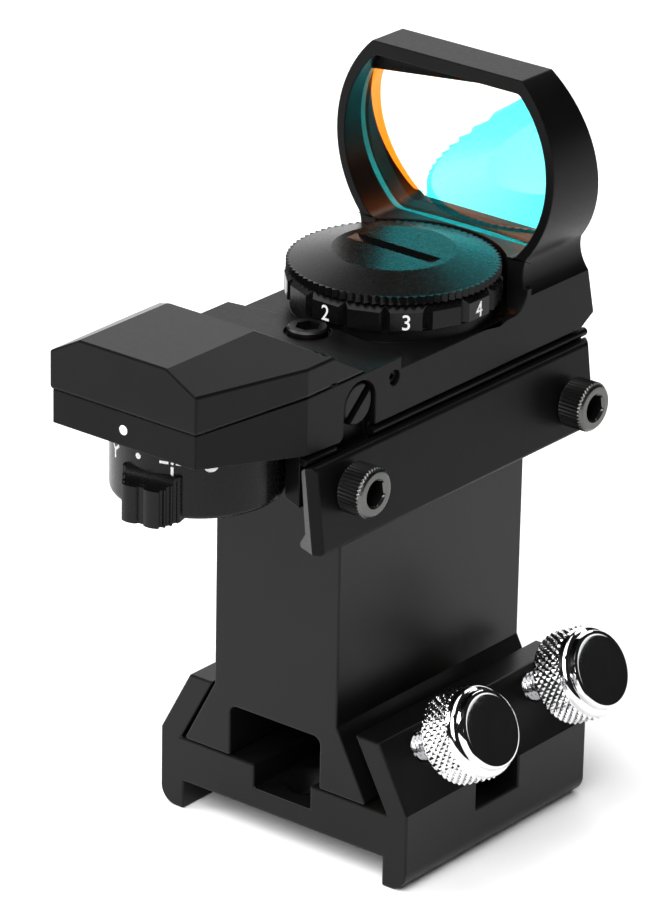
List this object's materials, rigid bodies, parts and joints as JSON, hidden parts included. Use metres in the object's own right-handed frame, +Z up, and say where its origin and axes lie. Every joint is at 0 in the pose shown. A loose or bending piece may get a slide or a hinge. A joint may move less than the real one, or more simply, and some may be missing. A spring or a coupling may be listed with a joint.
{
  "type": "finder scope",
  "caption": "Open reflex finder with a tilted coated lens and round battery dial, clamped on a tall riser that slides in a dovetail finder shoe with knurled thumbscrews.",
  "frame": {"origin": "middle of the shoe between its two legs, at the level of the legs' lower faces", "axes": "+X to the thumbscrew side, +Y forward along the line of sight (the user looks along +Y), +Z up away from the telescope tube"},
  "size_m": [0.0531, 0.081, 0.1034],
  "materials": {
    "riser_metal": "satin black anodised",
    "casing_metal": "matte black anodised",
    "control_metal": "satin black anodised, white figures",
    "bright_chrome": "polished, knurled band",
    "black_steel": "black oxide",
    "plain_steel": "plain",
    "brass": "plain turned",
    "coated_glass": "polished, red-reflecting coating",
    "clear_glass": "polished",
    "black_plastic": "moulded",
    "seal_rubber": "matte",
    "red_led": "clear tinted",
    "board": "circuit board",
    "wire": "insulated"
  },
  "bodies": {
    "shoe": {"finder_shoe": "riser_metal"},
    "rear_pad": {"pressure_pad_rear": "brass"},
    "front_pad": {"pressure_pad_front": "brass"},
    "rear_thumbscrew": {"thumbscrew_rear": "bright_chrome"},
    "front_thumbscrew": {"thumbscrew_front": "bright_chrome"},
    "sight": {"riser_post": "riser_metal", "sight_body": "casing_metal", "lens": "coated_glass", "lens_seal": "seal_rubber", "emitter_cover": "casing_metal", "cover_screws": "black_steel", "emitter_window": "clear_glass", "battery_holder": "black_plastic", "coin_battery": "plain_steel", "battery_contact": "brass", "switch_board": "board", "dial_snap_ring": "plain_steel", "wire_pair": "wire", "lock_screw": "black_steel"},
    "clamp": {"clamp_plate": "casing_metal"},
    "rear_bolt": {"clamp_bolt_rear": "black_steel"},
    "front_bolt": {"clamp_bolt_front": "black_steel"},
    "dial": {"brightness_dial": "control_metal", "dial_wiper": "brass"},
    "cap_seal": {"cap_o_ring": "seal_rubber"},
    "cap": {"battery_cap": "control_metal"},
    "selector": {"reticle_selector": "control_metal", "selector_clip": "plain_steel", "detent_ball": "plain_steel", "detent_spring": "plain_steel"},
    "elevation_adjuster": {"elevation_screw": "black_steel", "elevation_clip": "plain_steel"},
    "elevation_stage": {"elevation_slide": "black_plastic"},
    "windage_adjuster": {"windage_screw": "black_steel", "windage_clip": "plain_steel"},
    "windage_block": {"windage_nut": "brass"},
    "emitter": {"emitter_carriage": "black_plastic", "led": "red_led", "led_board": "board"},
    "drum": {"reticle_drum": "black_plastic", "reticle_film": "black_plastic"}
  },
  "joints": [
    {"name": "sight_slide", "type": "slide", "parent": "shoe", "child": "sight", "axis": [0, 1, 0], "range_m": [0, 0.045]},
    {"name": "rear_pad_slide", "type": "slide", "parent": "shoe", "child": "rear_pad", "axis": [0.8808, 0, 0.4735], "range_m": [0, 0.003]},
    {"name": "front_pad_slide", "type": "slide", "parent": "shoe", "child": "front_pad", "axis": [0.8808, 0, 0.4735], "range_m": [0, 0.003]},
    {"name": "rear_thumbscrew_turn", "type": "hinge", "parent": "rear_pad", "child": "rear_thumbscrew", "pos_m": [0.01783, -0.0123, 0.01804], "axis": [0.8808, 0, 0.4735], "range_deg": [0, 1545]},
    {"name": "front_thumbscrew_turn", "type": "hinge", "parent": "front_pad", "child": "front_thumbscrew", "pos_m": [0.01783, 0.0123, 0.01804], "axis": [0.8808, 0, 0.4735], "range_deg": [0, 1545]},
    {"name": "clamp_slide", "type": "slide", "parent": "sight", "child": "clamp", "axis": [1, 0, 0], "range_m": [0, 0.0015]},
    {"name": "rear_bolt_turn", "type": "hinge", "parent": "clamp", "child": "rear_bolt", "pos_m": [0.015, -0.0251, 0.05915], "axis": [1, 0, 0], "range_deg": [0, 775]},
    {"name": "front_bolt_turn", "type": "hinge", "parent": "clamp", "child": "front_bolt", "pos_m": [0.015, 0.022, 0.0566], "axis": [1, 0, 0], "range_deg": [0, 775]},
    {"name": "dial_turn", "type": "hinge", "parent": "sight", "child": "dial", "pos_m": [-0.0014, 0.0037, 0.075], "axis": [0, 0, 1], "range_deg": [-90, 270]},
    {"name": "cap_lift", "type": "slide", "parent": "sight", "child": "cap_seal", "axis": [0, 0, 1], "range_m": [0, 0.004]},
    {"name": "cap_turn", "type": "hinge", "parent": "cap_seal", "child": "cap", "pos_m": [-0.0014, 0.0037, 0.078], "axis": [0, 0, 1], "range_deg": [0, 1445]},
    {"name": "selector_turn", "type": "hinge", "parent": "sight", "child": "selector", "pos_m": [-0.0014, -0.0366, 0.064], "axis": [0, 0, 1], "range_deg": [-50, 25]},
    {"name": "elevation_turn", "type": "hinge", "parent": "sight", "child": "elevation_adjuster", "pos_m": [-0.0014, -0.0144, 0.073], "axis": [0, 0, 1], "range_deg": [-216.5, 216.5]},
    {"name": "elevation_travel", "type": "slide", "parent": "sight", "child": "elevation_stage", "axis": [0, 0, 1], "range_m": [-0.0003, 0.0003]},
    {"name": "windage_turn", "type": "hinge", "parent": "sight", "child": "windage_adjuster", "pos_m": [0.0115, -0.02165, 0.069], "axis": [1, 0, 0], "range_deg": [-216.5, 216.5]},
    {"name": "windage_nut_travel", "type": "slide", "parent": "sight", "child": "windage_block", "axis": [1, 0, 0], "range_m": [-0.0003, 0.0003]},
    {"name": "windage_travel", "type": "slide", "parent": "elevation_stage", "child": "emitter", "axis": [1, 0, 0], "range_m": [-0.0003, 0.0003]},
    {"name": "drum_turn", "type": "hinge", "parent": "emitter", "child": "drum", "pos_m": [-0.0014, -0.0366, 0.0725], "axis": [0, 0, 1], "range_deg": [-50, 25]}
  ],
  "couplings": [
    {"joint": "rear_thumbscrew_turn", "follows": "rear_pad_slide", "rad_per_m": 8976},
    {"joint": "front_thumbscrew_turn", "follows": "front_pad_slide", "rad_per_m": 8976},
    {"joint": "rear_bolt_turn", "follows": "clamp_slide", "rad_per_m": 8976},
    {"joint": "front_bolt_turn", "follows": "clamp_slide", "rad_per_m": 8976},
    {"joint": "cap_turn", "follows": "cap_lift", "rad_per_m": 6283.2},
    {"joint": "drum_turn", "follows": "selector_turn", "ratio": 1},
    {"joint": "elevation_turn", "follows": "elevation_travel", "rad_per_m": -12566},
    {"joint": "windage_turn", "follows": "windage_travel", "rad_per_m": -12566},
    {"joint": "windage_nut_travel", "follows": "windage_travel", "ratio": 1}
  ]
}
